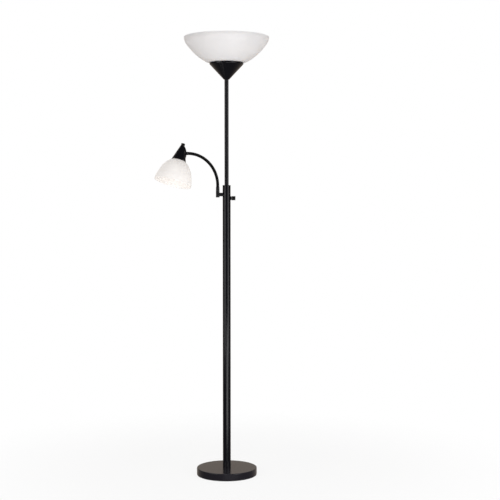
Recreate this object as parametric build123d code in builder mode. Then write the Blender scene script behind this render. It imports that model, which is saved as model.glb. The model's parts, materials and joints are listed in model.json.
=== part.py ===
# Torchiere floor lamp with a side reading light.
#
# Frame: millimetres, +Z up. The origin is on the pole's axis, on the floor face of the base pad.
# -Y is the front of the lamp, and the reading light stands out towards -X and the front.

import os
from math import cos, hypot, radians, sin, sqrt, tan

from build123d import *

os.makedirs("parts", exist_ok=True)

# ---------------------------------------------------------------- driving dimensions

FIT = 0.05                    # radial clearance of pieces that are screwed or pushed together
RUNNING = 0.08                # radial clearance of a shaft that turns in its bore
GAP = 0.3                     # clearance between pieces that only stand beside each other

# base
BASE_R = 124.0
BASE_TOP = 30.0
BASE_EDGE = 3.0               # rounding of the cover's top edge
COVER_WALL = 1.2
PAD_T = 2.2
PLATE_T = 1.0
WEIGHT_LOW = 15.0             # underside of the cast weight
INLET_Z = 9.2                 # height of the cord inlet at the back of the base
INLET_R = 3.2
CUTOUT_R = 5.5                # hole in the cover that takes the grommet

# poles
LOWER_R = 16.4                # fat lower pole
LOWER_WALL = 1.2
LOWER_TOP = 1197.0            # flat top of the reducer cap
JOINT_Z = 570.0               # where the two lower pole sections meet
UPPER_R = 8.5                 # thin upper pole
UPPER_WALL = 1.0
CONE_LOW = 1628.0             # foot of the top cone, and end of the upper pole
THREAD_R = 5.0                # hollow threaded rod used all through the lamp
THREAD_BORE = 3.4
LEAD_R = 2.5                  # lead up the upper pole

# bowl shade on top
CONE_TOP = 1696.3
CONE_TOP_R = 69.3
CONE_LOW_R = 11.2
CONE_LIP = 6.5                # straight lip at the top of the cone
CONE_WALL = 1.2
BOWL_RIM_Z = 1800.0
BOWL_WALL = 2.5
BOWL_HOLE_R = 19.8
BOWL_FLOOR_R = 46.0           # flat floor of the bowl, inside the cone
SOCKET_LOW = 1640.0           # underside of the moulded socket
FLANGE_Z = 1686.0             # shoulder that the bowl sits on

# screw lamp sockets and bulbs, E26 size
SHELL_R = 14.1
SHELL_WALL = 0.5
SOCKET_R = 19.5               # outside of the moulded socket in the bowl
BULB_BASE_R = 13.2
BULB_NECK_R = 12.6

# pole switch
SWITCH_Z = 1143.5
SWITCH_NUT_ACROSS = 15.5
KNOB_R = 8.5
KNOB_BACK_X = 20.3
KNOB_BORE_END_X = 31.1
KNOB_FACE_X = 36.2
SHAFT_R = 3.0

# arm stub and swivel of the gooseneck
STUB_Z = 1158.6
STUB_R = 7.4
LEAD_HOLE_R = 2.6
SWIVEL_X = -36.5              # the swivel's vertical axis
SWIVEL_LOW = 1146.7
SWIVEL_SPLIT = 1174.7         # top of the fixed cup
FERRULE_TOP = 1190.7
CUP_R = 7.5
SPIGOT_R = 4.5

# gooseneck, stood in for by a chain of ball-jointed links
NECK_YAW = 25.0               # degrees from -X towards the front
NECK_START = 1195.2           # where the neck's quarter circle begins
NECK_BEND_R = 129.2
LINK_COUNT = 7
LINK_R = 6.3
LINK_BORE = 2.8
BALL_R = 4.6
CUP_BORE_R = 4.72             # hollow that a link's ball turns in
CUP_RISE = 1.6                # rim of that hollow above the joint centre
SHOULDER = 4.2                # shoulder of the next link above the joint centre
BALL_NECK_R = 3.5
NECK_LEAD_R = 1.3

# reading head, sizes along its own axis from the foot of its cone
HEAD_OUT = 162.5              # head axis to swivel axis, along the neck's direction
HEAD_TILT = 18.0              # degrees from vertical, opening outwards
HEAD_ROLL = 4.9               # degrees about the neck's end, opening to the front
HEAD_NECK_H = 31.5            # where the neck's end meets the head's axis
HEAD_CONE_R = 30.0
HEAD_CONE_TOP_R = 8.0
HEAD_CONE_H = 65.0
HEAD_WALL = 1.0
BOSS_OUT = 24.4               # outermost point of the boss, from the head axis
BOSS_SEAT = 17.0              # flat seat inside the boss
BOSS_R = 12.5
BOSS_HALF_H = 29.0
HEAD_SHADE_H = 94.5
HEAD_SHADE_R = 76.2
HEAD_SHADE_WALL = 2.0
SHADE_SEAT = 4.4              # top face of the shade's flat neck
SHADE_HOLE_R = 16.8
BRACKET_Z = 19.6              # underside of the plate that carries the socket
HEAD_SWITCH_LOW = 42.0
HEAD_KNOB_R = 7.8
NIPPLE_R = 4.0                # hollow nipple that the head swivels on

# ---------------------------------------------------------------- derived places

lower_in = LOWER_R - LOWER_WALL
upper_in = UPPER_R - UPPER_WALL
cover_in = BASE_R - COVER_WALL

yaw = radians(NECK_YAW)
outward = Vector(-cos(yaw), -sin(yaw), 0)             # the neck's direction seen from above
hinge_dir = Vector(sin(yaw), -cos(yaw), 0)            # axis that the neck bends about
turn_step = 90.0 / LINK_COUNT
corner_run = NECK_BEND_R * tan(radians(turn_step / 2))
link_length = 2 * corner_run
neck_top = NECK_START + NECK_BEND_R


def neck_point(out, z):
    """A point in the neck's upright plane, out from the swivel's axis."""
    return Vector(SWIVEL_X, 0, z) + outward * out


def neck_frame(out, z, lean):
    """A plane in the neck's plane whose Z leans outwards from vertical by so many degrees."""
    along = outward * sin(radians(lean)) + Vector(0, 0, cos(radians(lean)))
    return Plane(origin=neck_point(out, z), x_dir=hinge_dir, z_dir=along)


# the links' joint centres: corners of the open polygon around the neck's quarter circle
joint_frames = []
corner_out, corner_z = 0.0, NECK_START + corner_run
for index in range(LINK_COUNT):
    lean = turn_step * (index + 1)
    joint_frames.append(neck_frame(corner_out, corner_z, lean))
    corner_out += link_length * sin(radians(lean))
    corner_z += link_length * cos(radians(lean))

# the head's own frame: Z runs up its axis towards the knob, X stays across the neck
head_meet = neck_point(HEAD_OUT, neck_top)
opening = outward * sin(radians(HEAD_TILT)) - Vector(0, 0, cos(radians(HEAD_TILT)))
opening = opening.rotate(Axis((0, 0, 0), outward), HEAD_ROLL)
head_up = opening * -1
head_foot = head_meet + opening * HEAD_NECK_H
head_x = hinge_dir.rotate(Axis((0, 0, 0), outward), HEAD_ROLL)
head = Plane(origin=head_foot, x_dir=head_x, z_dir=head_up)

# the boss and the nipple lie along the neck's end, measured from the head axis to the neck
boss = Plane(origin=head_meet, x_dir=hinge_dir, z_dir=outward * -1)

switch = Plane(origin=(0, 0, SWITCH_Z), x_dir=(0, 1, 0), z_dir=(1, 0, 0))
stub = Plane(origin=(0, 0, STUB_Z), x_dir=(0, 1, 0), z_dir=(-1, 0, 0))
swivel = Plane(origin=(SWIVEL_X, 0, 0), x_dir=outward, z_dir=(0, 0, 1))
inlet = Plane(origin=(0, 0, INLET_Z), x_dir=(1, 0, 0), z_dir=(0, 1, 0))


# ---------------------------------------------------------------- helpers

def upright(frame):
    """The plane of a half section: X is the radius, and Y the height along the frame's Z."""
    return Plane(origin=frame.origin, x_dir=frame.x_dir, z_dir=frame.y_dir * -1)


def turn(frame, outline, mode=Mode.ADD, rounded=()):
    """Revolve an outline of (radius, height) points about the frame's Z axis."""
    with BuildSketch(upright(frame)) as section:
        with BuildLine():
            Polyline(*outline, close=True)
        make_face()
        for radius, corner in rounded:
            fillet(section.vertices().sort_by_distance(corner)[0], radius)
    revolve(section.sketch, axis=Axis(frame.origin, frame.z_dir), mode=mode)


def ring(frame, outer, inner, low, high, mode=Mode.ADD, rounded=()):
    """A round washer, tube or, with no inner radius, disc from one height to another."""
    turn(frame, [(inner, low), (outer, low), (outer, high), (inner, high)], mode, rounded)


def drill(frame, radius, low, high):
    """Cut a round hole along the frame's Z axis."""
    ring(frame, radius, 0, low, high, Mode.SUBTRACT)


def hexagon(frame, across_flats, bore, low, high):
    """A hexagon nut along the frame's Z axis."""
    with BuildSketch(frame.offset(low)) as section:
        RegularPolygon(across_flats / 2, 6, major_radius=False)
        Circle(bore, mode=Mode.SUBTRACT)
    extrude(section.sketch, amount=high - low)


def flute(frame, radius):
    """Cut grip flutes around a knob, from the frame's origin to the knob's face."""
    with BuildSketch(frame) as grooves:
        with PolarLocations(radius + 0.4, 16):
            Circle(0.9)
    extrude(grooves.sketch, amount=15.0, mode=Mode.SUBTRACT)


def inset(points, wall):
    """The same smooth outline moved inwards, to its left, by the wall."""
    moved = []
    for index, (x, y) in enumerate(points):
        before = points[max(index - 1, 0)]
        after = points[min(index + 1, len(points) - 1)]
        dx, dy = after[0] - before[0], after[1] - before[1]
        size = hypot(dx, dy)
        moved.append((x - wall * dy / size, y + wall * dx / size))
    return moved


def save(piece, label):
    """Name a finished piece and write its STEP file."""
    piece.part.label = label
    export_step(piece.part, f"parts/{label}.step")


# ---------------------------------------------------------------- base

with BuildPart() as base_pad:
    ring(Plane.XY, BASE_R - 0.8, 0, 0, PAD_T, rounded=[(0.8, (BASE_R - 0.8, 0))])
save(base_pad, "base_pad")

with BuildPart() as base_plate:
    ring(Plane.XY, cover_in - 0.2, 22.0, PAD_T, PAD_T + PLATE_T)
save(base_plate, "base_plate")

with BuildPart() as base_cover:
    turn(
        Plane.XY,
        [
            (THREAD_R + 0.2, BASE_TOP - COVER_WALL),
            (cover_in, BASE_TOP - COVER_WALL),
            (cover_in, PAD_T + 0.05),
            (BASE_R, PAD_T + 0.05),
            (BASE_R, BASE_TOP),
            (THREAD_R + 0.2, BASE_TOP),
        ],
        rounded=[
            (BASE_EDGE, (BASE_R, BASE_TOP)),
            (BASE_EDGE - COVER_WALL, (cover_in, BASE_TOP - COVER_WALL)),
            (0.5, (BASE_R, PAD_T + 0.05)),
        ],
    )
    drill(inlet, CUTOUT_R + FIT, BASE_R - 12, BASE_R + 2)
save(base_cover, "base_cover")

with BuildPart() as base_weight:
    ring(Plane.XY, cover_in - 0.8, THREAD_R + 0.3, WEIGHT_LOW, BASE_TOP - COVER_WALL - FIT,
         rounded=[(2.5, (cover_in - 0.8, BASE_TOP - COVER_WALL - FIT))])
save(base_weight, "base_weight")

with BuildPart() as base_washer:
    ring(Plane.XY, 15.0, THREAD_R + 0.3, WEIGHT_LOW - 1.6, WEIGHT_LOW)
save(base_washer, "base_washer")

with BuildPart() as base_nut:
    hexagon(Plane.XY, 17.0, THREAD_R + FIT, WEIGHT_LOW - 6.6, WEIGHT_LOW - 1.6)
save(base_nut, "base_nut")

with BuildPart() as cord_grommet:
    turn(
        inlet,
        [
            (INLET_R, BASE_R - 4.5),
            (5.7, BASE_R - 4.5),
            (5.7, BASE_R - COVER_WALL - GAP),
            (CUTOUT_R, BASE_R - COVER_WALL - GAP),
            (CUTOUT_R, BASE_R + 0.02),
            (6.8, BASE_R + 0.02),
            (6.8, BASE_R + 1.5),
            (INLET_R, BASE_R + 3.5),
        ],
        rounded=[(1.0, (6.8, BASE_R + 1.5))],
    )
save(cord_grommet, "cord_grommet")

# ---------------------------------------------------------------- poles

with BuildPart() as pole_stud:
    ring(Plane.XY, THREAD_R, THREAD_BORE, 4.6, 52.0)
save(pole_stud, "pole_stud")

with BuildPart() as pole_foot_bush:
    ring(Plane.XY, lower_in - FIT, THREAD_R + FIT, BASE_TOP + FIT, 60.0,
         rounded=[(1.5, (lower_in - FIT, 60.0))])
save(pole_foot_bush, "pole_foot_bush")

with BuildPart() as lower_pole_bottom:
    ring(Plane.XY, LOWER_R, lower_in, BASE_TOP + FIT, JOINT_Z - FIT,
         rounded=[(0.4, (LOWER_R, JOINT_Z - FIT))])
save(lower_pole_bottom, "lower_pole_bottom")

with BuildPart() as pole_joiner:
    ring(Plane.XY, lower_in - FIT, lower_in - 2.5, JOINT_Z - 30, JOINT_Z + 30,
         rounded=[(0.8, (lower_in - FIT, JOINT_Z + 30)), (0.8, (lower_in - FIT, JOINT_Z - 30))])
save(pole_joiner, "pole_joiner")

with BuildPart() as lower_pole_top:
    ring(Plane.XY, LOWER_R, lower_in, JOINT_Z + FIT, LOWER_TOP - 2.0 - FIT,
         rounded=[(0.4, (LOWER_R, JOINT_Z + FIT))])
    drill(switch, THREAD_R + FIT, 5, 25)
    drill(stub, THREAD_R + FIT, 5, 25)
save(lower_pole_top, "lower_pole_top")

with BuildPart() as reducer_cap:
    turn(
        Plane.XY,
        [
            (6.6, LOWER_TOP - 20.0),
            (lower_in - FIT, LOWER_TOP - 20.0),
            (lower_in - FIT, LOWER_TOP - 2.0),
            (LOWER_R, LOWER_TOP - 2.0),
            (LOWER_R, LOWER_TOP),
            (UPPER_R + FIT, LOWER_TOP),
            (UPPER_R + FIT, LOWER_TOP - 18.0),
            (6.6, LOWER_TOP - 18.0),
        ],
        rounded=[(0.6, (LOWER_R, LOWER_TOP))],
    )
save(reducer_cap, "reducer_cap")

with BuildPart() as upper_pole:
    ring(Plane.XY, UPPER_R, upper_in, LOWER_TOP - 18.0 + FIT, CONE_LOW - FIT)
save(upper_pole, "upper_pole")

with BuildPart() as upper_pole_bush:
    ring(Plane.XY, upper_in - FIT, THREAD_R + FIT, CONE_LOW - 28.0, CONE_LOW - FIT)
save(upper_pole_bush, "upper_pole_bush")

# ---------------------------------------------------------------- top cone, socket, bulb and bowl

with BuildPart() as top_nipple:
    ring(Plane.XY, THREAD_R, THREAD_BORE, CONE_LOW - 26.0, CONE_LOW + 18.0)
save(top_nipple, "top_nipple")

cone_rise = CONE_TOP - CONE_LIP - CONE_LOW
cone_inset = CONE_WALL * sqrt(1 + ((CONE_TOP_R - CONE_LOW_R) / cone_rise) ** 2)
with BuildPart() as top_cone:
    turn(
        Plane.XY,
        [
            (THREAD_R + 0.2, CONE_LOW),
            (CONE_LOW_R, CONE_LOW),
            (CONE_TOP_R, CONE_TOP - CONE_LIP),
            (CONE_TOP_R, CONE_TOP),
            (CONE_TOP_R - CONE_WALL, CONE_TOP),
            (CONE_TOP_R - CONE_WALL, CONE_TOP - CONE_LIP + 0.6),
            (CONE_LOW_R - cone_inset + CONE_WALL, CONE_LOW + CONE_WALL),
            (THREAD_R + 0.2, CONE_LOW + CONE_WALL),
        ],
        rounded=[(2.0, (CONE_TOP_R, CONE_TOP - CONE_LIP)), (1.0, (CONE_LOW_R, CONE_LOW))],
    )
save(top_cone, "top_cone")

with BuildPart() as top_nut:
    hexagon(Plane.XY, 16.0, THREAD_R + FIT, CONE_LOW + CONE_WALL + FIT, CONE_LOW + CONE_WALL + 5.0)
save(top_nut, "top_nut")

with BuildPart() as top_socket_body:
    turn(
        Plane.XY,
        [
            (THREAD_R + FIT, SOCKET_LOW),
            (16.0, SOCKET_LOW),
            (SOCKET_R, SOCKET_LOW + 6.0),
            (SOCKET_R, FLANGE_Z - 6.0),
            (24.0, FLANGE_Z - 3.0),
            (24.0, FLANGE_Z),
            (SOCKET_R, FLANGE_Z),
            (SOCKET_R, FLANGE_Z + 13.0),
            (SHELL_R + FIT, FLANGE_Z + 13.0),
            (SHELL_R + FIT, SOCKET_LOW + 14.0),
            (THREAD_R + FIT, SOCKET_LOW + 14.0),
        ],
    )
save(top_socket_body, "top_socket_body")

with BuildPart() as top_socket_shell:
    turn(
        Plane.XY,
        [
            (7.0, SOCKET_LOW + 14.05),
            (SHELL_R, SOCKET_LOW + 14.05),
            (SHELL_R, FLANGE_Z + 12.0),
            (SHELL_R - SHELL_WALL, FLANGE_Z + 12.0),
            (SHELL_R - SHELL_WALL, SOCKET_LOW + 14.55),
            (7.0, SOCKET_LOW + 14.55),
        ],
    )
save(top_socket_shell, "top_socket_shell")

with BuildPart() as top_contact:
    ring(Plane.XY, 4.9, 0, SOCKET_LOW + 12.0, SOCKET_LOW + 14.0)
    ring(Plane.XY, 3.2, 0, SOCKET_LOW + 14.0, SOCKET_LOW + 19.0)
save(top_contact, "top_contact")


def bulb_base(frame, tip):
    """A bulb's metal screw base, its tip at a height along the frame's Z."""
    inside = BULB_BASE_R - 0.5
    turn(
        frame,
        [
            (0, tip),
            (4.5, tip),
            (BULB_BASE_R, tip + 5.0),
            (BULB_BASE_R, tip + 26.0),
            (inside, tip + 26.0),
            (inside, tip + 6.0),
            (0, tip + 3.0),
        ],
    )


def bulb_glass(frame, tip, neck_length, ball_r, length, wall=0.8):
    """A blown bulb on that base: straight neck, smooth flare and round end, open at the neck."""
    low = tip + 7.0
    neck_top = tip + neck_length
    centre = tip + length - ball_r
    flare = (0.72 * ball_r, neck_top + 0.42 * (centre - neck_top))
    outlines = []
    for skin in (0.0, wall):
        round_r = ball_r - skin
        with BuildSketch(upright(frame)) as half:
            with BuildLine():
                start = Line((0, low), (BULB_NECK_R - skin, low))
                neck = Line(start @ 1, (BULB_NECK_R - skin, neck_top))
                side = Spline(neck @ 1, (flare[0] - skin, flare[1]), (round_r, centre),
                              tangents=[(0, 1), (0, 1)])
                end = CenterArc((0, centre), round_r, 0, 90)
                Line(end @ 1, start @ 0)
            make_face()
        outlines.append(half.sketch)
    revolve(outlines[0], axis=Axis(frame.origin, frame.z_dir))
    revolve(outlines[1], axis=Axis(frame.origin, frame.z_dir), mode=Mode.SUBTRACT)


bulb_tip = SOCKET_LOW + 19.1
with BuildPart() as top_bulb_base:
    bulb_base(Plane.XY, bulb_tip)
save(top_bulb_base, "top_bulb_base")

with BuildPart() as top_bulb_glass:
    bulb_glass(Plane.XY, bulb_tip, neck_length=40.0, ball_r=30.0, length=110.0)
save(top_bulb_glass, "top_bulb_glass")

# the bowl's outside from the cone's lip to its rim, as (radius, height)
bowl_side = [
    (66.0, 1696.2),
    (86.5, 1701.5),
    (123.0, 1726.5),
    (156.0, 1761.0),
    (170.7, 1784.0),
    (174.2, BOWL_RIM_Z),
]
bowl_low = FLANGE_Z + FIT
with BuildPart() as top_shade:
    with BuildSketch(Plane.XZ) as section:
        with BuildLine():
            inner_side = inset(bowl_side, BOWL_WALL)
            base_in = Line((BOWL_HOLE_R, bowl_low), (BOWL_FLOOR_R, bowl_low))
            dish = Line(base_in @ 1, bowl_side[0])
            outside = Spline(*bowl_side)
            rim = Line(outside @ 1, inner_side[-1])
            inside = Spline(*reversed(inner_side))
            dish_in = Line(inside @ 1, (BOWL_FLOOR_R - 1, bowl_low + BOWL_WALL))
            floor_in = Line(dish_in @ 1, (BOWL_HOLE_R, bowl_low + BOWL_WALL))
            Line(floor_in @ 1, base_in @ 0)
        make_face()
    revolve(axis=Axis.Z)
save(top_shade, "top_shade")

with BuildPart() as top_shade_ring:
    ring(Plane.XY, 25.0, 19.6, FLANGE_Z + BOWL_WALL + 0.1, FLANGE_Z + BOWL_WALL + 7.0,
         rounded=[(1.5, (25.0, FLANGE_Z + BOWL_WALL + 7.0))])
save(top_shade_ring, "top_shade_ring")

# ---------------------------------------------------------------- pole switch

with BuildPart() as switch_body:
    with BuildSketch(switch.offset(-8.5)) as section:
        RectangleRounded(19.0, 18.0, 2.0)
    extrude(section.sketch, amount=19.0)
    ring(switch, THREAD_R, 0, 10.5, 19.5)
    drill(switch, SHAFT_R + RUNNING, 4.0, 19.6)
save(switch_body, "switch_body")

with BuildPart() as switch_nut:
    hexagon(switch, SWITCH_NUT_ACROSS, THREAD_R + FIT, LOWER_R + FIT, LOWER_R + 3.2)
save(switch_nut, "switch_nut")

with BuildPart() as switch_shaft:
    ring(switch, SHAFT_R, 0, 4.1, KNOB_BORE_END_X - 0.1)
save(switch_shaft, "switch_shaft")

with BuildPart() as switch_knob:
    ring(switch, KNOB_R, SHAFT_R + FIT, KNOB_BACK_X, KNOB_BORE_END_X)
    ring(switch, KNOB_R, 0, KNOB_BORE_END_X, KNOB_FACE_X, rounded=[(1.2, (KNOB_R, KNOB_FACE_X))])
    flute(switch.offset(KNOB_BACK_X + 2.0), KNOB_R)
save(switch_knob, "switch_knob")

# ---------------------------------------------------------------- arm stub and swivel

with BuildPart() as arm_stub:
    ring(stub, STUB_R, LEAD_HOLE_R, 14.0, -SWIVEL_X - 2.5)
    drill(Plane.XY, LOWER_R + FIT, STUB_Z - 8, STUB_Z + 8)
    drill(swivel, CUP_R + 0.02, STUB_Z - 8, STUB_Z + 8)
    ring(stub, THREAD_R, LEAD_HOLE_R, 9.5, LOWER_R + 0.5)
save(arm_stub, "arm_stub")

with BuildPart() as stub_nut:
    hexagon(stub, 13.0, THREAD_R + FIT, 9.6, 12.3)
save(stub_nut, "stub_nut")

with BuildPart() as swivel_cup:
    turn(
        swivel,
        [
            (0, SWIVEL_LOW),
            (CUP_R, SWIVEL_LOW),
            (CUP_R, SWIVEL_SPLIT),
            (SPIGOT_R + RUNNING, SWIVEL_SPLIT),
            (SPIGOT_R + RUNNING, SWIVEL_SPLIT - 8.0),
            (5.25, SWIVEL_SPLIT - 8.0),
            (5.25, SWIVEL_SPLIT - 9.6),
            (SPIGOT_R + RUNNING, SWIVEL_SPLIT - 9.6),
            (SPIGOT_R + RUNNING, SWIVEL_LOW + 6.0),
            (0, SWIVEL_LOW + 6.0),
        ],
        rounded=[(1.0, (CUP_R, SWIVEL_LOW))],
    )
    drill(stub, LEAD_HOLE_R, -SWIVEL_X - CUP_R - 1, -SWIVEL_X)
save(swivel_cup, "swivel_cup")

with BuildPart() as swivel_clip:
    ring(swivel, 5.2, 4.1, SWIVEL_SPLIT - 9.5, SWIVEL_SPLIT - 8.1)
    with BuildSketch(Plane.XY.offset(SWIVEL_SPLIT - 10)) as gap_section:
        with Locations((SWIVEL_X + 5.0, 0)):
            Rectangle(6.0, 3.0)
    extrude(gap_section.sketch, amount=3.0, mode=Mode.SUBTRACT)
save(swivel_clip, "swivel_clip")


def open_cup(frame):
    """Hollow a link's end for the next ball, whose centre is the frame's origin."""
    with BuildSketch(upright(frame)) as half:
        with BuildLine():
            CenterArc((0, 0), CUP_BORE_R, -90, 180)
            Line((0, CUP_BORE_R), (0, -CUP_BORE_R))
        make_face()
    revolve(half.sketch, axis=Axis(frame.origin, frame.z_dir), mode=Mode.SUBTRACT)
    drill(frame, LINK_BORE, -12, 0)


def add_ball(frame):
    """Add a link's ball, whose centre is the frame's origin, and its short neck."""
    throat = sqrt(BALL_R**2 - LINK_BORE**2)
    with BuildSketch(upright(frame)) as half:
        with BuildLine():
            CenterArc((0, 0), BALL_R, -90, 180)
            Line((0, BALL_R), (0, -BALL_R))
        make_face()
    revolve(half.sketch, axis=Axis(frame.origin, frame.z_dir))
    ring(frame, BALL_NECK_R, 0, 0, SHOULDER)
    drill(frame, LINK_BORE, -throat - 1, BALL_R + 0.1)


with BuildPart() as neck_ferrule:
    turn(
        swivel,
        [
            (0, SWIVEL_SPLIT - 10.6),
            (SPIGOT_R, SWIVEL_SPLIT - 10.6),
            (SPIGOT_R, SWIVEL_SPLIT - 9.7),
            (4.0, SWIVEL_SPLIT - 9.7),
            (4.0, SWIVEL_SPLIT - 7.9),
            (SPIGOT_R, SWIVEL_SPLIT - 7.9),
            (SPIGOT_R, SWIVEL_SPLIT + GAP),
            (CUP_R, SWIVEL_SPLIT + GAP),
            (CUP_R, SWIVEL_SPLIT + 3.0),
            (LINK_R + 0.5, FERRULE_TOP),
            (LINK_R, FERRULE_TOP),
            (LINK_R, NECK_START + corner_run + CUP_RISE),
            (0, NECK_START + corner_run + CUP_RISE),
        ],
    )
    drill(swivel, LINK_BORE, SWIVEL_SPLIT - 11, NECK_START + corner_run)
    open_cup(neck_frame(0, NECK_START + corner_run, 0))
save(neck_ferrule, "neck_ferrule")

# ---------------------------------------------------------------- gooseneck links

for index in range(LINK_COUNT - 1):
    frame = joint_frames[index]
    with BuildPart() as neck_link:
        add_ball(frame)
        ring(frame, LINK_R, LINK_BORE, SHOULDER, link_length + CUP_RISE)
        open_cup(frame.offset(link_length))
    save(neck_link, f"neck_link_{index + 1}")

last_frame = joint_frames[-1]
last_run = HEAD_OUT - BOSS_OUT - (last_frame.origin - neck_point(0, neck_top)).length
nipple_run = last_run + BOSS_OUT - 9.0
with BuildPart() as neck_link_end:
    add_ball(last_frame)
    ring(last_frame, LINK_R, LINK_BORE, SHOULDER, last_run - GAP)
    ring(last_frame, NIPPLE_R, LINK_BORE, last_run - GAP, nipple_run)
save(neck_link_end, f"neck_link_{LINK_COUNT}")

with BuildPart() as neck_end_nut:
    hexagon(boss, 10.0, NIPPLE_R + FIT, BOSS_SEAT - 4.9, BOSS_SEAT - 1.3)
save(neck_end_nut, "neck_end_nut")

# ---------------------------------------------------------------- reading head


def head_cone_r(height):
    """The head cone's outside radius at a height above its foot."""
    return HEAD_CONE_R - (HEAD_CONE_R - HEAD_CONE_TOP_R) * height / HEAD_CONE_H


head_slope = (HEAD_CONE_R - HEAD_CONE_TOP_R) / HEAD_CONE_H
head_inset = HEAD_WALL * sqrt(1 + head_slope**2)
with BuildPart() as head_cone:
    turn(
        head,
        [(0, 0), (HEAD_CONE_R, 0), (HEAD_CONE_TOP_R, HEAD_CONE_H), (0, HEAD_CONE_H)],
        rounded=[(1.2, (HEAD_CONE_TOP_R, HEAD_CONE_H))],
    )
    with BuildSketch(Plane(origin=head_meet, x_dir=outward * -1, z_dir=hinge_dir)) as half_boss:
        with Locations((BOSS_OUT - BOSS_R, 0)):
            Ellipse(BOSS_R, BOSS_HALF_H)
        with Locations((BOSS_OUT - 3 * BOSS_R, 0)):
            Rectangle(4 * BOSS_R, 4 * BOSS_HALF_H, mode=Mode.SUBTRACT)
    boss_axis = Axis(head_meet - outward * (BOSS_OUT - BOSS_R), (0, 0, 1))
    revolve(half_boss.sketch, axis=boss_axis)
    turn(
        head,
        [
            (0, -1),
            (HEAD_CONE_R - head_inset + head_slope, -1),
            (head_cone_r(HEAD_CONE_H - 1.5) - head_inset, HEAD_CONE_H - 1.5),
            (0, HEAD_CONE_H - 1.5),
        ],
        Mode.SUBTRACT,
    )
    drill(boss, 8.5, 0, BOSS_SEAT)
    drill(boss, NIPPLE_R + RUNNING, 0, BOSS_OUT + 1)
    drill(head, 3.6, HEAD_CONE_H - 3, HEAD_CONE_H + 1)
save(head_cone, "head_cone")

with BuildPart() as swivel_washer:
    ring(boss, 6.6, NIPPLE_R + RUNNING, BOSS_SEAT - 1.2, BOSS_SEAT - 0.1)
save(swivel_washer, "swivel_washer")

lead_line = Plane(origin=head.origin + head.x_dir * 5.0, x_dir=head.x_dir, z_dir=head.z_dir)
with BuildPart() as head_bracket:
    ring(head, head_cone_r(BRACKET_Z + 1.5) - head_inset - FIT, 0, BRACKET_Z, BRACKET_Z + 1.5)
    drill(lead_line, 1.6, BRACKET_Z - 1, BRACKET_Z + 3)
save(head_bracket, "head_bracket")

with BuildPart() as head_socket_body:
    turn(
        head,
        [
            (0, BRACKET_Z - FIT),
            (15.0, BRACKET_Z - FIT),
            (16.5, BRACKET_Z - 3.0),
            (16.5, 8.0),
            (19.0, 7.0),
            (19.0, 4.6),
            (16.5, 4.6),
            (16.5, -10.0),
            (SHELL_R + FIT, -10.0),
            (SHELL_R + FIT, BRACKET_Z - 5.0),
            (0, BRACKET_Z - 5.0),
        ],
    )
    drill(head, 3.0, BRACKET_Z - 6, BRACKET_Z + 1)
save(head_socket_body, "head_socket_body")

with BuildPart() as head_socket_shell:
    turn(
        head,
        [
            (7.0, BRACKET_Z - 5.05),
            (SHELL_R, BRACKET_Z - 5.05),
            (SHELL_R, -9.0),
            (SHELL_R - SHELL_WALL, -9.0),
            (SHELL_R - SHELL_WALL, BRACKET_Z - 5.55),
            (7.0, BRACKET_Z - 5.55),
        ],
    )
save(head_socket_shell, "head_socket_shell")

with BuildPart() as head_contact:
    ring(head, 5.0, 0, BRACKET_Z - 6.6, BRACKET_Z - 5.05)
    ring(head, 2.9, 0, BRACKET_Z - 5.05, BRACKET_Z - 0.2)
save(head_contact, "head_contact")

# the side bulb hangs with its base up, so its frame is the head's turned over
bulb_down = Plane(origin=head.origin, x_dir=head.x_dir, z_dir=head.z_dir * -1)
head_bulb_tip = 6.7 - BRACKET_Z
with BuildPart() as head_bulb_base:
    bulb_base(bulb_down, head_bulb_tip)
save(head_bulb_base, "head_bulb_base")

with BuildPart() as head_bulb_glass:
    bulb_glass(bulb_down, head_bulb_tip, neck_length=30.0, ball_r=23.0, length=92.0)
save(head_bulb_glass, "head_bulb_glass")

# the side shade's outside from just inside the cone's foot to its rim, as (radius, depth)
shade_side = [
    (28.2, -0.3),
    (41.0, -10.3),
    (58.5, -33.5),
    (71.5, -68.5),
    (HEAD_SHADE_R, -HEAD_SHADE_H),
]
with BuildPart() as head_shade:
    with BuildSketch(upright(head)) as section:
        with BuildLine():
            inner_side = inset(shade_side, -HEAD_SHADE_WALL)
            seat = Line((SHADE_HOLE_R, SHADE_SEAT), (23.0, SHADE_SEAT))
            shoulder = Line(seat @ 1, shade_side[0])
            outside = Spline(*shade_side)
            rim = Line(outside @ 1, inner_side[-1])
            inside = Spline(*reversed(inner_side))
            back = Line(inside @ 1, (21.4, SHADE_SEAT - HEAD_SHADE_WALL))
            under = Line(back @ 1, (SHADE_HOLE_R, SHADE_SEAT - HEAD_SHADE_WALL))
            Line(under @ 1, seat @ 0)
        make_face()
    revolve(section.sketch, axis=Axis(head.origin, head.z_dir))
save(head_shade, "head_shade")

with BuildPart() as head_shade_ring:
    ring(head, 20.4, 16.6, -3.5, SHADE_SEAT - HEAD_SHADE_WALL - 0.1)
save(head_shade_ring, "head_shade_ring")

with BuildPart() as head_switch_body:
    ring(head, 7.0, 0, HEAD_SWITCH_LOW, 55.0)
    ring(head, 3.5, 0, 55.0, HEAD_CONE_H + 1.4)
    drill(head, 1.6 + RUNNING, 48.0, HEAD_CONE_H + 2)
save(head_switch_body, "head_switch_body")

with BuildPart() as head_switch_nut:
    hexagon(head, 9.0, 3.5 + FIT, HEAD_CONE_H + FIT, HEAD_CONE_H + 1.4)
save(head_switch_nut, "head_switch_nut")

with BuildPart() as head_switch_shaft:
    ring(head, 1.6, 0, 48.1, HEAD_CONE_H + 5.0)
save(head_switch_shaft, "head_switch_shaft")

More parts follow.
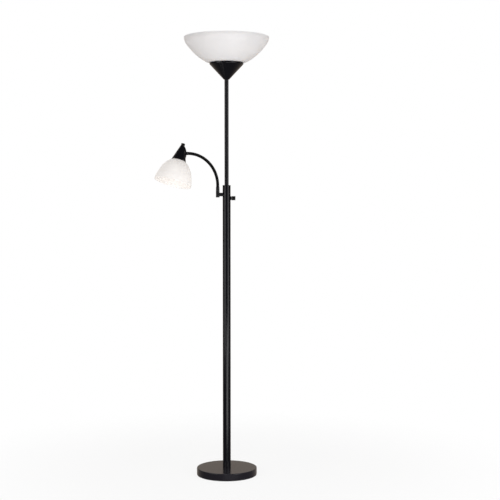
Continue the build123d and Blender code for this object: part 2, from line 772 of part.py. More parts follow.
with BuildPart() as head_switch_knob:
    ring(head, HEAD_KNOB_R, 1.6 + FIT, HEAD_CONE_H + 2.0, HEAD_CONE_H + 5.1)
    ring(head, HEAD_KNOB_R, 0, HEAD_CONE_H + 5.1, HEAD_CONE_H + 8.0,
         rounded=[(1.2, (HEAD_KNOB_R, HEAD_CONE_H + 8.0))])
    flute(head.offset(HEAD_CONE_H + 3.0), HEAD_KNOB_R)
save(head_switch_knob, "head_switch_knob")

# ---------------------------------------------------------------- leads that the lamp holds all the way

with BuildPart() as top_lead:
    ring(Plane.XY, LEAD_R, 0, SWITCH_Z + 9.0 + 0.05, SOCKET_LOW + 11.9)
save(top_lead, "top_lead")

# from the pole switch through the stub, up the swivel, round the neck and up to the head's switch
with BuildPart() as neck_lead:
    with BuildLine() as lead_path:
        rise = Line((-7.0, 0, SWITCH_Z + 9.05), (-7.0, 0, STUB_Z - 3.0))
        first = TangentArc(rise @ 1, (-10.0, 0, STUB_Z), tangent=(0, 0, 1))
        across = Line(first @ 1, (SWIVEL_X + 3.0, 0, STUB_Z))
        second = TangentArc(across @ 1, (SWIVEL_X, 0, STUB_Z + 3.0), tangent=(-1, 0, 0))
        up = Line(second @ 1, neck_point(0, NECK_START))
        bow = TangentArc(up @ 1, neck_point(NECK_BEND_R, neck_top), tangent=(0, 0, 1))
        level = Line(bow @ 1, head_meet - outward * 6.0)
        third = TangentArc(level @ 1, head_meet + head_up * 6.0, tangent=outward)
        Line(third @ 1, head_meet + head_up * (HEAD_SWITCH_LOW - FIT - HEAD_NECK_H))
    with BuildSketch(Plane(origin=lead_path.line @ 0, z_dir=lead_path.line % 0)) as section:
        Circle(NECK_LEAD_R)
    sweep(section.sketch, path=lead_path.line)
save(neck_lead, "neck_lead")

with BuildPart() as head_lead:
    ring(lead_line, 1.1, 0, BRACKET_Z, HEAD_SWITCH_LOW - FIT)
save(head_lead, "head_lead")
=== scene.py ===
# Looks of a black torchiere floor lamp with a side reading light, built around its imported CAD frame.
# Metres, +Z up. -Y is the front of the lamp, and the reading light stands out towards -X.

import json
from math import cos, pi, radians, sin, tan, tau

import bpy
from mathutils import Matrix, Vector

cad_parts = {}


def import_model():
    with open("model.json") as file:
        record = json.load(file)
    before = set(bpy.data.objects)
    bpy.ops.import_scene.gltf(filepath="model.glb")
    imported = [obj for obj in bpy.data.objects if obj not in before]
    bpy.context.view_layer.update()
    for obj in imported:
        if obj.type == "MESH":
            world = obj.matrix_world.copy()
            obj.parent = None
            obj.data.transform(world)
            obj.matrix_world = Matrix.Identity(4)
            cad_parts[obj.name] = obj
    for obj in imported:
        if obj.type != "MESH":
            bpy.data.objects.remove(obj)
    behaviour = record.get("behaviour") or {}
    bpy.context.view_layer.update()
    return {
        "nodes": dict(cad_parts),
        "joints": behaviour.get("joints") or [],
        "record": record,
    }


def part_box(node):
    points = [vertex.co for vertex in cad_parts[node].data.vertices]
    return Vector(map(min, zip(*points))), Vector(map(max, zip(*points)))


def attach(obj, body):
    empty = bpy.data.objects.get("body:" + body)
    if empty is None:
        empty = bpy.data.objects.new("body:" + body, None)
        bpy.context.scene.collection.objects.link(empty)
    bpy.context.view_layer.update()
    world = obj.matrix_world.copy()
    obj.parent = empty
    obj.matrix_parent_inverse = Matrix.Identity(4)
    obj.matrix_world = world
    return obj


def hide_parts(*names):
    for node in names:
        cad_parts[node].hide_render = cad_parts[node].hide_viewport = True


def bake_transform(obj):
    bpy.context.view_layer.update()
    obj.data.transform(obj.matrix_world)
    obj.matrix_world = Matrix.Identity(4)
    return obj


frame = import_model()

MM = 0.001
UP = Vector((0, 0, 1))

# ---------------------------------------------------------------- sizes shared with the CAD frame

GAP = 0.3 * MM                  # clearance between pieces that move past each other
NECK_R = 6.3 * MM               # gooseneck, outside
LEAD_R = 1.3 * MM
LEAD_BORE = 2.8 * MM            # bore of the swivel and of the neck's end fittings
SPIGOT_R = 4.5 * MM             # the ferrule's spigot in the swivel cup
CLIP_GROOVE_R = 4.0 * MM        # groove for the swivel clip, and its two faces below the cup's top
CLIP_GROOVE_LOW = 9.7 * MM
CLIP_GROOVE_HIGH = 7.9 * MM
NIPPLE_R = 4.0 * MM             # nipple that the reading head swivels on
BOSS_OUT = 24.4 * MM            # end of the head's boss, from the head's axis
NIPPLE_END = 9.0 * MM           # end of the nipple, from the head's axis
HEAD_CONE_HEIGHT = 65.0 * MM
HEAD_SWITCH_LOW = 42.0 * MM     # underside of the head's switch, above the foot of its cone
BOWL_WALL = 2.5 * MM
BOWL_HOLE_R = 19.8 * MM
BOWL_FLOOR_R = 46.0 * MM
BOWL_SIDE = (                   # the bowl's outside, as (radius, height) in millimetres
    (66.0, 1696.2),
    (86.5, 1701.5),
    (123.0, 1726.5),
    (156.0, 1761.0),
    (170.7, 1784.0),
    (174.2, 1800.0),
)
SHADE_WALL = 2.0 * MM
SHADE_HOLE_R = 16.8 * MM
SHADE_SEAT = 4.4 * MM           # the side shade's flat neck, above the foot of the cone
SHADE_NECK_OUT = 23.0 * MM      # radius of that neck's flat outer face, and of its inner one
SHADE_NECK_IN = 21.4 * MM
SHADE_SIDE = (                  # the side shade's outside, measured from the foot of its cone
    (28.2, -0.3),
    (41.0, -10.3),
    (58.5, -33.5),
    (71.5, -68.5),
    (76.2, -94.5),
)
SWITCH_BODY_TOP = 9.0 * MM      # top of the pole switch's body, above its shaft
POLE_LEAD_X = -7.0 * MM         # where the neck's lead leaves that body

# ---------------------------------------------------------------- places read from the frame

joints = {joint["name"]: joint for joint in frame["joints"]}


def joint_at(name):
    """A joint's point at rest."""
    return Vector(joints[name]["pos_m"])


def joint_axis(name):
    """A joint's axis at rest."""
    return Vector(joints[name]["axis"]).normalized()


def axis_frame(origin, up, across):
    """The matrix of a frame whose Z runs along up and whose X is nearest to across."""
    z = up.normalized()
    x = (across - z * across.dot(z)).normalized()
    y = z.cross(x)
    turned = Matrix((x, y, z)).transposed().to_4x4()
    turned.translation = origin
    return turned


outward = joint_axis("head_swivel")             # from the swivel towards the reading head
hinge = joint_axis("neck_bend_1")               # across the neck's plane
head_up = joint_axis("head_switch_turn")        # up the reading head's own axis
head_meet = joint_at("head_swivel")
bend_names = sorted(name for name in joints if name.startswith("neck_bend_"))
bend_count = len(bend_names)
step_angle = pi / 2 / bend_count
link_length = (joint_at(bend_names[1]) - joint_at(bend_names[0])).length
neck_radius = link_length / 2 / tan(step_angle / 2)
neck_foot = Vector((*joint_at("neck_turn").xy, head_meet.z - neck_radius))
neck_centre = neck_foot + outward * neck_radius

head_foot = joint_at("head_switch_turn") - head_up * HEAD_CONE_HEIGHT

world_frame = Matrix.Identity(4)
head_frame = axis_frame(head_foot, head_up, hinge)
swivel_frame = axis_frame(Vector((*joint_at("neck_turn").xy, 0)), UP, outward)
neck_end_frame = axis_frame(neck_centre + UP * neck_radius, outward, hinge)

# ---------------------------------------------------------------- mesh helpers

ARC_STEPS = 5                   # mesh steps in a rounded corner
LINE_STEPS = 10                 # mesh steps between two points of a smooth line


def new_piece(name, points, faces, material):
    """A smooth-shaded mesh object with its material and record slot."""
    mesh = bpy.data.meshes.new(name)
    mesh.from_pydata([tuple(point) for point in points], [], faces)
    mesh.validate()
    mesh.update()
    for polygon in mesh.polygons:
        polygon.use_smooth = True
    mesh.materials.append(material)
    piece = bpy.data.objects.new(name, mesh)
    bpy.context.scene.collection.objects.link(piece)
    return piece


def soften(corners):
    """An outline whose corners, given as (radius, height, rounding), are turned into arcs."""
    outline = []
    count = len(corners)
    for index, (r, z, rounding) in enumerate(corners):
        here = Vector((r, z))
        if rounding <= 0:
            outline.append(here)
            continue
        before = (Vector(corners[index - 1][:2]) - here).normalized()
        after = (Vector(corners[(index + 1) % count][:2]) - here).normalized()
        half = before.angle(after) / 2
        reach = rounding / tan(half)
        centre = here + (before + after).normalized() * (rounding / sin(half))
        first = here + before * reach - centre
        sweep = first.angle_signed(here + after * reach - centre)
        for step in range(ARC_STEPS + 1):
            turned = first.copy()
            turned.rotate(Matrix.Rotation(-sweep * step / ARC_STEPS, 2))
            outline.append(centre + turned)
    return outline


def lathe(name, outline, place, material, segments):
    """Turn a closed outline of (radius, height) points about the place's Z axis."""
    points, faces = [], []
    count = len(outline)
    for segment in range(segments):
        angle = tau * segment / segments
        for r, z in outline:
            points.append(place @ Vector((r * cos(angle), r * sin(angle), z)))
    for segment in range(segments):
        this_side = segment * count
        next_side = (segment + 1) % segments * count
        for index in range(count):
            following = (index + 1) % count
            faces.append((this_side + index, next_side + index,
                          next_side + following, this_side + following))
    return new_piece(name, points, faces, material)


def through(points):
    """A smooth line through (radius, height) points, by Catmull-Rom."""
    ends = [2 * points[0] - points[1], *points, 2 * points[-1] - points[-2]]
    line = []
    for a, b, c, d in zip(ends, ends[1:], ends[2:], ends[3:]):
        for step in range(LINE_STEPS):
            t = step / LINE_STEPS
            line.append(0.5 * (2 * b + (c - a) * t + (2 * a - 5 * b + 4 * c - d) * t**2
                               + (3 * b - a - 3 * c + d) * t**3))
    line.append(points[-1])
    return line


def offset(line, wall):
    """The same smooth line moved to its left by the wall."""
    moved = []
    for index, here in enumerate(line):
        along = (line[min(index + 1, len(line) - 1)] - line[max(index - 1, 0)]).normalized()
        moved.append(here + Vector((-along.y, along.x)) * wall)
    return moved

# ---------------------------------------------------------------- material helpers


class Surface:
    """A Principled material, with short calls that add its procedural nodes."""

    def __init__(self, name, **constants):
        self.material = bpy.data.materials.new(name)
        self.material.use_nodes = True
        self.nodes = self.material.node_tree.nodes
        self.links = self.material.node_tree.links
        self.shader = self.nodes["Principled BSDF"]
        for socket, value in constants.items():
            self.shader.inputs[socket.replace("_", " ")].default_value = value
        self.place = self.nodes.new("ShaderNodeTexCoord").outputs["Object"]

    def noise(self, scale, detail=4.0, stretch=(1, 1, 1), distortion=0.0):
        """Noise with that many features to a metre, drawn out along an axis by a small stretch."""
        mapping = self.nodes.new("ShaderNodeMapping")
        mapping.inputs["Scale"].default_value = stretch
        texture = self.nodes.new("ShaderNodeTexNoise")
        texture.inputs["Scale"].default_value = scale
        texture.inputs["Detail"].default_value = detail
        texture.inputs["Distortion"].default_value = distortion
        self.links.new(self.place, mapping.inputs["Vector"])
        self.links.new(mapping.outputs["Vector"], texture.inputs["Vector"])
        return texture.outputs["Fac"]

    def ramp(self, value, low, high, start=0.3, end=0.7):
        """That value turned into a colour between low and high."""
        ramp = self.nodes.new("ShaderNodeValToRGB")
        ramp.color_ramp.elements[0].position = start
        ramp.color_ramp.elements[0].color = (*low, 1)
        ramp.color_ramp.elements[1].position = end
        ramp.color_ramp.elements[1].color = (*high, 1)
        self.links.new(value, ramp.inputs["Fac"])
        return ramp.outputs["Color"]

    def colour(self, value, low, high, start=0.3, end=0.7):
        """Base colour that runs from low to high with the value."""
        self.links.new(self.ramp(value, low, high, start, end), self.shader.inputs["Base Color"])

    def roughness(self, value, low, high):
        """Roughness that runs from low to high with the value."""
        spread = self.nodes.new("ShaderNodeMapRange")
        spread.inputs["To Min"].default_value = low
        spread.inputs["To Max"].default_value = high
        self.links.new(value, spread.inputs["Value"])
        self.links.new(spread.outputs["Result"], self.shader.inputs["Roughness"])

    def bump(self, value, height, strength=1.0):
        """A relief of that height in metres."""
        bump = self.nodes.new("ShaderNodeBump")
        bump.inputs["Strength"].default_value = strength
        bump.inputs["Distance"].default_value = height
        self.links.new(value, bump.inputs["Height"])
        self.links.new(bump.outputs["Normal"], self.shader.inputs["Normal"])


def powder_coat(name, low, high, rough_low, rough_high, **constants):
    """Baked powder coat: broad tone changes, a fine orange peel and a soft gloss."""
    surface = Surface(name, **constants)
    surface.colour(surface.noise(9.0, 3.0), low, high)
    surface.roughness(surface.noise(30.0, 3.0), rough_low, rough_high)
    surface.bump(surface.noise(900.0, 2.0), 0.000004, 0.2)
    return surface.material


def bare_metal(name, low, high, rough_low, rough_high, stretch):
    """Plated or plain metal with fine marks drawn out one way."""
    surface = Surface(name, Metallic=1.0)
    surface.colour(surface.noise(30.0, 4.0), low, high)
    surface.roughness(surface.noise(700.0, 4.0, stretch), rough_low, rough_high)
    surface.bump(surface.noise(1400.0, 3.0, stretch), 0.00001, 0.3)
    return surface.material


def moulded(name, low, high, rough_low, rough_high, specular=0.5, grain=1100.0):
    """Moulded plastic or rubber with a fine spark-eroded grain."""
    surface = Surface(name, IOR=1.46, Specular_IOR_Level=specular)
    surface.colour(surface.noise(40.0, 4.0), low, high)
    surface.roughness(surface.noise(250.0, 4.0), rough_low, rough_high)
    surface.bump(surface.noise(grain, 2.0), 0.00002, 0.3)
    return surface.material


def shade_white(name, low, high, depth, painted_glow):
    """Thin translucent white: faint clouds in the tone, light carried through the wall, and a painted glow
    that stands in for light falling into the shade.
    """
    surface = Surface(name, IOR=1.49, Specular_IOR_Level=0.2,
                      Subsurface_Weight=depth, Subsurface_Scale=0.006,
                      Emission_Color=(1.0, 0.93, 0.88, 1), Emission_Strength=painted_glow)
    surface.shader.inputs["Subsurface Radius"].default_value = (1.0, 0.95, 0.9)
    surface.colour(surface.noise(14.0, 5.0, distortion=0.6), low, high)
    surface.roughness(surface.noise(45.0, 4.0), 0.42, 0.50)
    surface.bump(surface.noise(220.0, 2.0), 0.00001, 0.2)
    return surface.material


def cast_iron():
    """Sand-cast iron with a pitted skin."""
    surface = Surface("cast_weight", Metallic=0.6)
    surface.colour(surface.noise(120.0, 6.0), (0.03, 0.03, 0.03), (0.09, 0.085, 0.08))
    surface.roughness(surface.noise(300.0, 5.0), 0.6, 0.85)
    surface.bump(surface.noise(500.0, 6.0), 0.0003, 0.8)
    return surface.material


def felt():
    """Pressed felt: tangled fibres and a soft sheen."""
    surface = Surface("felt_pad", Sheen_Weight=0.4, Sheen_Roughness=0.5)
    surface.colour(surface.noise(900.0, 8.0, distortion=1.5), (0.010, 0.010, 0.011), (0.045, 0.044, 0.043))
    surface.roughness(surface.noise(400.0, 4.0), 0.85, 0.98)
    surface.bump(surface.noise(1500.0, 8.0, distortion=2.0), 0.0003, 0.7)
    return surface.material


def frosted_glass():
    """A bulb's inside-frosted envelope, opaque white under a clear outer skin."""
    surface = Surface("bulb_glass", IOR=1.5, Coat_Weight=0.6, Coat_Roughness=0.05)
    surface.colour(surface.noise(35.0, 4.0), (0.82, 0.82, 0.80), (0.88, 0.88, 0.86))
    surface.roughness(surface.noise(120.0, 3.0), 0.42, 0.52)
    surface.bump(surface.noise(600.0, 2.0), 0.00001, 0.2)
    return surface.material


ROUND_MARKS = (1, 1, 12)        # fine marks that run around an upright piece
materials = {
    "satin_black_metal": powder_coat(
        "satin_black_metal", (0.0042, 0.0042, 0.0058), (0.0060, 0.0060, 0.0080), 0.15, 0.19,
        Specular_IOR_Level=0.18),
    "neck_black": powder_coat(
        "neck_black", (0.0025, 0.0025, 0.0028), (0.004, 0.004, 0.0042), 0.36, 0.42,
        Specular_IOR_Level=0.10),
    "white_shade": shade_white(
        "white_shade", (0.79, 0.782, 0.792), (0.83, 0.82, 0.83), depth=0.8, painted_glow=0.0),
    "black_plastic": moulded(
        "black_plastic", (0.003, 0.003, 0.003), (0.006, 0.006, 0.006), 0.34, 0.42, specular=0.15),
    "socket_phenolic": moulded("socket_phenolic", (0.012, 0.009, 0.008), (0.02, 0.016, 0.013), 0.35, 0.5),
    "shade_ring_plastic": moulded("shade_ring_plastic", (0.66, 0.65, 0.61), (0.72, 0.71, 0.68), 0.4, 0.5),
    "brass_contact": bare_metal(
        "brass_contact", (0.66, 0.47, 0.2), (0.78, 0.58, 0.28), 0.22, 0.38, ROUND_MARKS),
    "zinc_steel": bare_metal("zinc_steel", (0.5, 0.5, 0.49), (0.64, 0.64, 0.62), 0.28, 0.45, ROUND_MARKS),
    "cast_weight": cast_iron(),
    "felt_pad": felt(),
    "bulb_glass": frosted_glass(),
    "bulb_cap": bare_metal("bulb_cap", (0.68, 0.68, 0.67), (0.78, 0.78, 0.77), 0.25, 0.4, ROUND_MARKS),
    "lead_sheath": moulded("lead_sheath", (0.012, 0.012, 0.012), (0.02, 0.02, 0.02), 0.5, 0.62),
    "grommet_rubber": moulded("grommet_rubber", (0.010, 0.010, 0.010), (0.018, 0.018, 0.018), 0.6, 0.75),
}

slot_of = {part["node"]: part["material_slot"] for part in frame["record"]["subparts"]}
for node_name, node in frame["nodes"].items():
    node.data.materials.clear()
    node.data.materials.append(materials[slot_of[node_name]])

# the base's coat is a little rougher, and paler than the poles' coat: painted light standing in for the
# light that the base's sides catch
base_coat_painted_light = powder_coat("base_black_painted_light", (0.013, 0.012, 0.016), (0.016, 0.015, 0.020), 0.18, 0.23,
                        Specular_IOR_Level=0.20)
frame["nodes"]["base_cover"].data.materials[0] = base_coat_painted_light
# the side shade is paler and warmer than the bowl and glows faintly: painted light standing in for light
# falling through and into it
side_white_painted_light = shade_white("side_white_painted_light", (0.86, 0.84, 0.82), (0.90, 0.875, 0.855), depth=0.25, painted_glow=0.18)

# ---------------------------------------------------------------- gooseneck

TURNS_PER_LINK = 13             # turns of wire in the stretch that each joint bends
WIRE_SIDES = 24                 # mesh steps in one turn
WIRE_ARC = 6                    # mesh steps over the wire's rounded back
WIRE_FILL = 0.985               # wire width as a share of the pitch
COIL_GROOVE = NECK_R - 0.6 * MM # radius at the bottom of the groove between two turns
COIL_BORE = 3.4 * MM
LEAD_SIDES = 16
LEAD_STEPS = 8
SIDEWAYS_MIN = 0.1              # below this length, the hinge is too nearly along the lead to use

arc_length = neck_radius * pi / 2
pitch = arc_length / bend_count / TURNS_PER_LINK


def neck_at(run):
    """The neck's centre and direction, a run along it from the foot of its quarter circle."""
    turned = min(max(run / neck_radius, 0), pi / 2)
    centre = neck_centre - outward * neck_radius * cos(turned) + UP * neck_radius * sin(turned)
    along = UP * cos(turned) + outward * sin(turned)
    past = run - turned * neck_radius
    return centre + along * past, along


def wire_section():
    """The wire's closed section as (share of the pitch, radius): rounded outside, flat in the bore."""
    section = []
    for step in range(WIRE_ARC + 1):
        angle = pi * step / WIRE_ARC
        share = 0.5 - 0.5 * WIRE_FILL * cos(angle)
        section.append((share, COIL_GROOVE + (NECK_R - COIL_GROOVE) * sin(angle)))
    section.append((section[-1][0], COIL_BORE))
    section.append((section[0][0], COIL_BORE))
    return section


def coil(name, first_turn, turns):
    """Wound wire around the neck's line; turns are counted from the foot of its quarter circle."""
    section = wire_section()
    count = len(section)
    points, faces = [], []
    rings = turns * WIRE_SIDES
    for ring in range(rings + 1):
        turned = first_turn + ring / WIRE_SIDES
        for share, radius in section:
            centre, along = neck_at((turned + share - 0.5) * pitch)
            side = hinge * cos(tau * turned) + along.cross(hinge) * sin(tau * turned)
            points.append(centre + side * radius)
    for ring in range(rings):
        for index in range(count):
            following = (index + 1) % count
            faces.append((ring * count + index, ring * count + following,
                          (ring + 1) * count + following, (ring + 1) * count + index))
    faces.append(tuple(range(count - 1, -1, -1)))
    faces.append(tuple(rings * count + index for index in range(count)))
    return new_piece(name, points, faces, materials["neck_black"])


def lead_tube(name, centres):
    """A round lead through a list of (point, direction) places."""
    points, faces = [], []
    for centre, along in centres:
        side = hinge - along * hinge.dot(along)
        if side.length < SIDEWAYS_MIN:
            side = UP
        side.normalize()
        for step in range(LEAD_SIDES):
            angle = tau * step / LEAD_SIDES
            points.append(centre + (side * cos(angle) + along.cross(side) * sin(angle)) * LEAD_R)
    for ring in range(len(centres) - 1):
        for step in range(LEAD_SIDES):
            following = (step + 1) % LEAD_SIDES
            faces.append((ring * LEAD_SIDES + step, ring * LEAD_SIDES + following,
                          (ring + 1) * LEAD_SIDES + following, (ring + 1) * LEAD_SIDES + step))
    last = (len(centres) - 1) * LEAD_SIDES
    faces.append(tuple(range(LEAD_SIDES - 1, -1, -1)))
    faces.append(tuple(last + step for step in range(LEAD_SIDES)))
    return new_piece(name, points, faces, materials["lead_sheath"])


def lead_between(name, start, end):
    """A stretch of lead along the neck's line, between two runs."""
    runs = [start + (end - start) * step / LEAD_STEPS for step in range(LEAD_STEPS + 1)]
    return lead_tube(name, [neck_at(run) for run in runs])


bodies_along = ["neck_root", *(f"neck_{index + 1}" for index in range(bend_count))]
for index in range(bend_count):
    start_run = index * TURNS_PER_LINK * pitch
    end_run = start_run + TURNS_PER_LINK * pitch
    stretch = coil(f"gooseneck_{index + 1}", index * TURNS_PER_LINK, TURNS_PER_LINK)
    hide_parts(f"neck_link_{index + 1}")
    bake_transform(stretch)
    inner_lead = lead_between(f"neck_lead_{index + 1}", start_run, end_run)
    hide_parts("neck_lead")
    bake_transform(inner_lead)

FOOT_TURNS = 4                  # turns of wire held in the ferrule
HEAD_TURNS = 2                  # turns of wire held in the neck's end fitting
foot_coil = coil("gooseneck_foot", -FOOT_TURNS, FOOT_TURNS)
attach(foot_coil, "neck_root")
end_coil = coil("gooseneck_end", bend_count * TURNS_PER_LINK, HEAD_TURNS)
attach(end_coil, bodies_along[-1])

# ---------------------------------------------------------------- ferrule, and the neck's end fitting

cup_low, cup_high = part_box("swivel_cup")
cup_r = (cup_high.x - cup_low.x) / 2
split_z = cup_high.z
ferrule_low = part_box("neck_ferrule")[0]
ferrule_top = neck_foot.z - FOOT_TURNS / 2 * pitch
sleeve_in = NECK_R + 0.1 * MM
sleeve_out = NECK_R + 0.6 * MM
COLLAR_HEIGHT = 3.0 * MM        # the ferrule's straight collar, above the cup
FERRULE_SLEEVE = 8.0 * MM       # depth of the ferrule's sleeve around the wire
END_SLEEVE = 6.0 * MM           # length of the end fitting's sleeve around the wire
END_WALL = 2.5 * MM             # its solid end, at the head's boss
FITTING_SEGMENTS = 64

ferrule = lathe(
    "ferrule",
    soften([
        (LEAD_BORE, ferrule_low.z, 0),
        (SPIGOT_R, ferrule_low.z, 0.3 * MM),
        (SPIGOT_R, split_z - CLIP_GROOVE_LOW, 0),
        (CLIP_GROOVE_R, split_z - CLIP_GROOVE_LOW, 0),
        (CLIP_GROOVE_R, split_z - CLIP_GROOVE_HIGH, 0),
        (SPIGOT_R, split_z - CLIP_GROOVE_HIGH, 0),
        (SPIGOT_R, split_z + GAP, 0),
        (cup_r, split_z + GAP, 0.5 * MM),
        (cup_r, split_z + COLLAR_HEIGHT, 0.8 * MM),
        (sleeve_out, ferrule_top, 0.2 * MM),
        (sleeve_in, ferrule_top, 0.1 * MM),
        (sleeve_in, ferrule_top - FERRULE_SLEEVE, 0),
        (LEAD_BORE, ferrule_top - FERRULE_SLEEVE, 0),
    ]),
    swivel_frame, materials["satin_black_metal"], FITTING_SEGMENTS,
)
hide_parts("neck_ferrule")
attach(ferrule, "neck_root")

end_run = (head_meet - neck_end_frame.translation).length
boss_run = end_run - BOSS_OUT
sleeve_run = boss_run - END_SLEEVE
end_fitting = lathe(
    "neck_end_fitting",
    soften([
        (LEAD_BORE, boss_run - END_WALL, 0),
        (sleeve_in, boss_run - END_WALL, 0),
        (sleeve_in, sleeve_run, 0.1 * MM),
        (sleeve_out, sleeve_run, 0.2 * MM),
        (sleeve_out, boss_run - GAP, 0.3 * MM),
        (NIPPLE_R, boss_run - GAP, 0),
        (NIPPLE_R, end_run - NIPPLE_END, 0.3 * MM),
        (LEAD_BORE, end_run - NIPPLE_END, 0),
    ]),
    neck_end_frame, materials["satin_black_metal"], FITTING_SEGMENTS,
)
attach(end_fitting, bodies_along[-1])

# ---------------------------------------------------------------- lead in the stub and the head

CORNER_R = 4.0 * MM             # bend of a lead at a corner
CORNER_STEPS = 6
END_GAP = 0.05 * MM             # from a lead stretch's end to the face where it meets the next
switch_z = joint_at("pole_switch_turn").z
stub_low, stub_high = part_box("arm_stub")
stub_z = (stub_low.z + stub_high.z) / 2
swivel_foot = Vector((*neck_foot.xy, stub_z))
pole_corner = Vector((POLE_LEAD_X, 0, stub_z))
neck_end = neck_end_frame.translation
switch_low = head_meet + head_up * (HEAD_SWITCH_LOW - (head_meet - head_foot).dot(head_up))


def rounded_route(corners):
    """Places along a route whose inner corners are rounded, each with its direction."""
    places = [(corners[0], (corners[1] - corners[0]).normalized())]
    for before, corner, after in zip(corners, corners[1:], corners[2:]):
        inwards = (corner - before).normalized()
        onwards = (after - corner).normalized()
        for step in range(CORNER_STEPS + 1):
            t = step / CORNER_STEPS
            start, end = corner - inwards * CORNER_R, corner + onwards * CORNER_R
            point = start * (1 - t) ** 2 + corner * 2 * t * (1 - t) + end * t**2
            places.append((point, (inwards * (1 - t) + onwards * t).normalized()))
    places.append((corners[-1], (corners[-1] - corners[-2]).normalized()))
    return places


lead_stretches = {
    "stub_lead": ("lamp_stand", [
        Vector((POLE_LEAD_X, 0, switch_z + SWITCH_BODY_TOP)), pole_corner, swivel_foot,
        Vector((*neck_foot.xy, split_z - END_GAP))]),
    "swivel_lead": ("neck_root", [Vector((*neck_foot.xy, split_z + END_GAP)), neck_foot]),
    "nipple_lead": (bodies_along[-1], [neck_end, head_meet - outward * (NIPPLE_END + END_GAP)]),
    "head_end_lead": ("reading_head", [
        head_meet - outward * (NIPPLE_END - END_GAP), head_meet, switch_low]),
}
for lead_name, (body, corners) in lead_stretches.items():
    stretch = lead_tube(lead_name, rounded_route(corners))
    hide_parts("neck_lead")
    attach(stretch, body)

# ---------------------------------------------------------------- shades

SHADE_SEGMENTS = 160
RIM_STEPS = 8


def shade_outline(side, wall, neck):
    """A shade's closed wall: its side down to a rounded rim, back up inside, and the neck's two faces."""
    inside = offset(side, wall)
    lip = (side[-1] + inside[-1]) / 2
    lip_along = (side[-1] - side[-2]).normalized()
    rim = []
    for step in range(RIM_STEPS + 1):
        angle = pi * step / RIM_STEPS
        rim.append(lip + (side[-1] - lip) * cos(angle) + lip_along * (abs(wall) / 2 * (sin(angle) - 1)))
    return [*neck[:2], *side[:-1], *rim, *reversed(inside[:-1]), *neck[2:]]


bowl_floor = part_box("top_shade")[0].z
bowl_neck = [Vector((BOWL_HOLE_R, bowl_floor)), Vector((BOWL_FLOOR_R, bowl_floor)),
             Vector((BOWL_FLOOR_R - 1 * MM, bowl_floor + BOWL_WALL)),
             Vector((BOWL_HOLE_R, bowl_floor + BOWL_WALL))]
bowl_side = through([Vector(point) * MM for point in BOWL_SIDE])
bowl = lathe("bowl_shade", shade_outline(bowl_side, BOWL_WALL, bowl_neck), world_frame,
             materials["white_shade"], SHADE_SEGMENTS)
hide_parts("top_shade")
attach(bowl, "lamp_stand")

neck_in = SHADE_SEAT - SHADE_WALL
side_neck = [Vector((SHADE_HOLE_R, SHADE_SEAT)), Vector((SHADE_NECK_OUT, SHADE_SEAT)),
             Vector((SHADE_NECK_IN, neck_in)), Vector((SHADE_HOLE_R, neck_in))]
shade_side = through([Vector(point) * MM for point in SHADE_SIDE])
side_shade = lathe("side_shade", shade_outline(shade_side, -SHADE_WALL, side_neck), head_frame,
                   side_white_painted_light, SHADE_SEGMENTS)
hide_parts("head_shade")
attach(side_shade, "reading_head")

# ---------------------------------------------------------------- camera, floor and light

CAMERA_DISTANCE = 4.646
CAMERA_HEIGHT = 1.1335
CAMERA_SIDE = 0.096
CAMERA_PITCH = radians(2.5)
CAMERA_LENS = 81.4
FLOOR_STRENGTH = 0.13           # how much of the floor shows near the base
FLOOR_SOLID = 0.35              # radius where it starts to fade, and where it is gone
FLOOR_FADED = 1.5
FLOOR_SIDES = 96
STUDIO_FRONT = 0.06             # strength of the studio's light from the front half, and from behind
STUDIO_BACK = 0.55
STUDIO_BACK_FROM = 0.9          # how far back a direction points where that light is full
WARM_UNTIL = 0.25               # how far up a direction points where the warm tone starts to fade,
NEUTRAL_FROM = 0.55             # and where it is gone
WARM = (1.0, 0.86, 0.74, 1)
NEUTRAL = (1.0, 0.97, 0.95, 1)


def camera():
    """The photograph's viewpoint, a little right of the lamp and level with its neck."""
    data = bpy.data.cameras.new("camera")
    data.lens = CAMERA_LENS
    item = bpy.data.objects.new("camera", data)
    item.location = (CAMERA_SIDE, -CAMERA_DISTANCE, CAMERA_HEIGHT)
    item.rotation_euler = (pi / 2 - CAMERA_PITCH, 0, 0)
    bpy.context.scene.collection.objects.link(item)
    bpy.context.scene.camera = item


def floor():
    """A pale studio floor under the base, which fades into the white of the studio."""
    surface = Surface("floor", Specular_IOR_Level=0.1)
    surface.colour(surface.noise(3.0, 3.0), (0.86, 0.86, 0.86), (0.88, 0.88, 0.88))
    surface.roughness(surface.noise(20.0, 3.0), 0.8, 0.9)
    nodes, links = surface.nodes, surface.links
    distance = nodes.new("ShaderNodeVectorMath")
    distance.operation = "LENGTH"
    fade = nodes.new("ShaderNodeMapRange")
    fade.interpolation_type = "SMOOTHSTEP"
    fade.inputs["From Min"].default_value = FLOOR_SOLID
    fade.inputs["From Max"].default_value = FLOOR_FADED
    fade.inputs["To Min"].default_value = FLOOR_STRENGTH
    fade.inputs["To Max"].default_value = 0.0
    links.new(surface.place, distance.inputs[0])
    links.new(distance.outputs["Value"], fade.inputs["Value"])
    links.new(fade.outputs["Result"], surface.shader.inputs["Alpha"])
    points = [(FLOOR_FADED * cos(tau * step / FLOOR_SIDES), FLOOR_FADED * sin(tau * step / FLOOR_SIDES), 0)
              for step in range(FLOOR_SIDES)]
    mesh = bpy.data.meshes.new("studio_floor")
    mesh.from_pydata(points, [], [tuple(range(FLOOR_SIDES))])
    mesh.materials.append(surface.material)
    item = bpy.data.objects.new("studio_floor", mesh)
    bpy.context.scene.collection.objects.link(item)


def softbox(name, place, aim, width, height, power):
    """A rectangular area light that faces a point."""
    data = bpy.data.lights.new(name, "AREA")
    data.shape = "RECTANGLE"
    data.size = width
    data.size_y = height
    data.energy = power
    item = bpy.data.objects.new(name, data)
    item.location = place
    item.rotation_euler = (Vector(aim) - Vector(place)).to_track_quat("-Z", "Y").to_euler()
    bpy.context.scene.collection.objects.link(item)


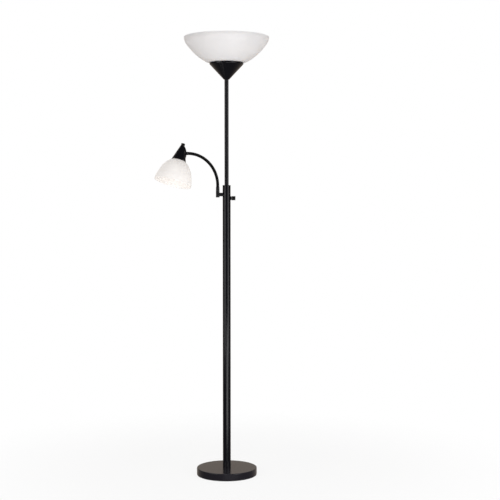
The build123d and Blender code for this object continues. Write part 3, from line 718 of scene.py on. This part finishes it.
def world():
    """A studio that shows white behind the lamp and gives softer light, warm low down and dim in front."""
    background = bpy.data.worlds.new("studio")
    bpy.context.scene.world = background
    background.use_nodes = True
    nodes = background.node_tree.nodes
    links = background.node_tree.links
    nodes.clear()
    place = nodes.new("ShaderNodeTexCoord")
    split = nodes.new("ShaderNodeSeparateXYZ")
    ramp = nodes.new("ShaderNodeMapRange")
    ramp.inputs["From Min"].default_value = 0.0
    ramp.inputs["From Max"].default_value = STUDIO_BACK_FROM
    ramp.inputs["To Min"].default_value = STUDIO_FRONT
    ramp.inputs["To Max"].default_value = STUDIO_BACK
    light = nodes.new("ShaderNodeBackground")
    tone = nodes.new("ShaderNodeValToRGB")
    tone.color_ramp.elements[0].position = WARM_UNTIL
    tone.color_ramp.elements[0].color = WARM
    tone.color_ramp.elements[1].position = NEUTRAL_FROM
    tone.color_ramp.elements[1].color = NEUTRAL
    seen = nodes.new("ShaderNodeBackground")
    path = nodes.new("ShaderNodeLightPath")
    mix = nodes.new("ShaderNodeMixShader")
    output = nodes.new("ShaderNodeOutputWorld")
    links.new(place.outputs["Generated"], split.inputs["Vector"])
    links.new(split.outputs["Z"], tone.inputs["Fac"])
    links.new(tone.outputs["Color"], light.inputs["Color"])
    links.new(split.outputs["Y"], ramp.inputs["Value"])
    links.new(ramp.outputs["Result"], light.inputs["Strength"])
    links.new(path.outputs["Is Camera Ray"], mix.inputs["Fac"])
    links.new(light.outputs["Background"], mix.inputs[1])
    links.new(seen.outputs["Background"], mix.inputs[2])
    links.new(mix.outputs["Shader"], output.inputs["Surface"])
    seen.inputs["Color"].default_value = (1, 1, 1, 1)


camera()
floor()
world()
# name, place, point faced, width, height and watts
softbox("left_box", (-1.9, -1.6, 1.15), (0, 0, 1.15), 1.6, 2.0, 36)
softbox("right_box", (1.9, -1.6, 1.15), (0, 0, 1.15), 1.6, 2.0, 38)
softbox("top_box", (0, 0.7, 3.6), (0, 0, 1.0), 2.4, 2.4, 31)
softbox("low_box", (0.5, -1.7, 0.1), (-0.1, 0, 1.4), 1.6, 0.7, 18)
bpy.context.scene.view_settings.view_transform = "Standard"
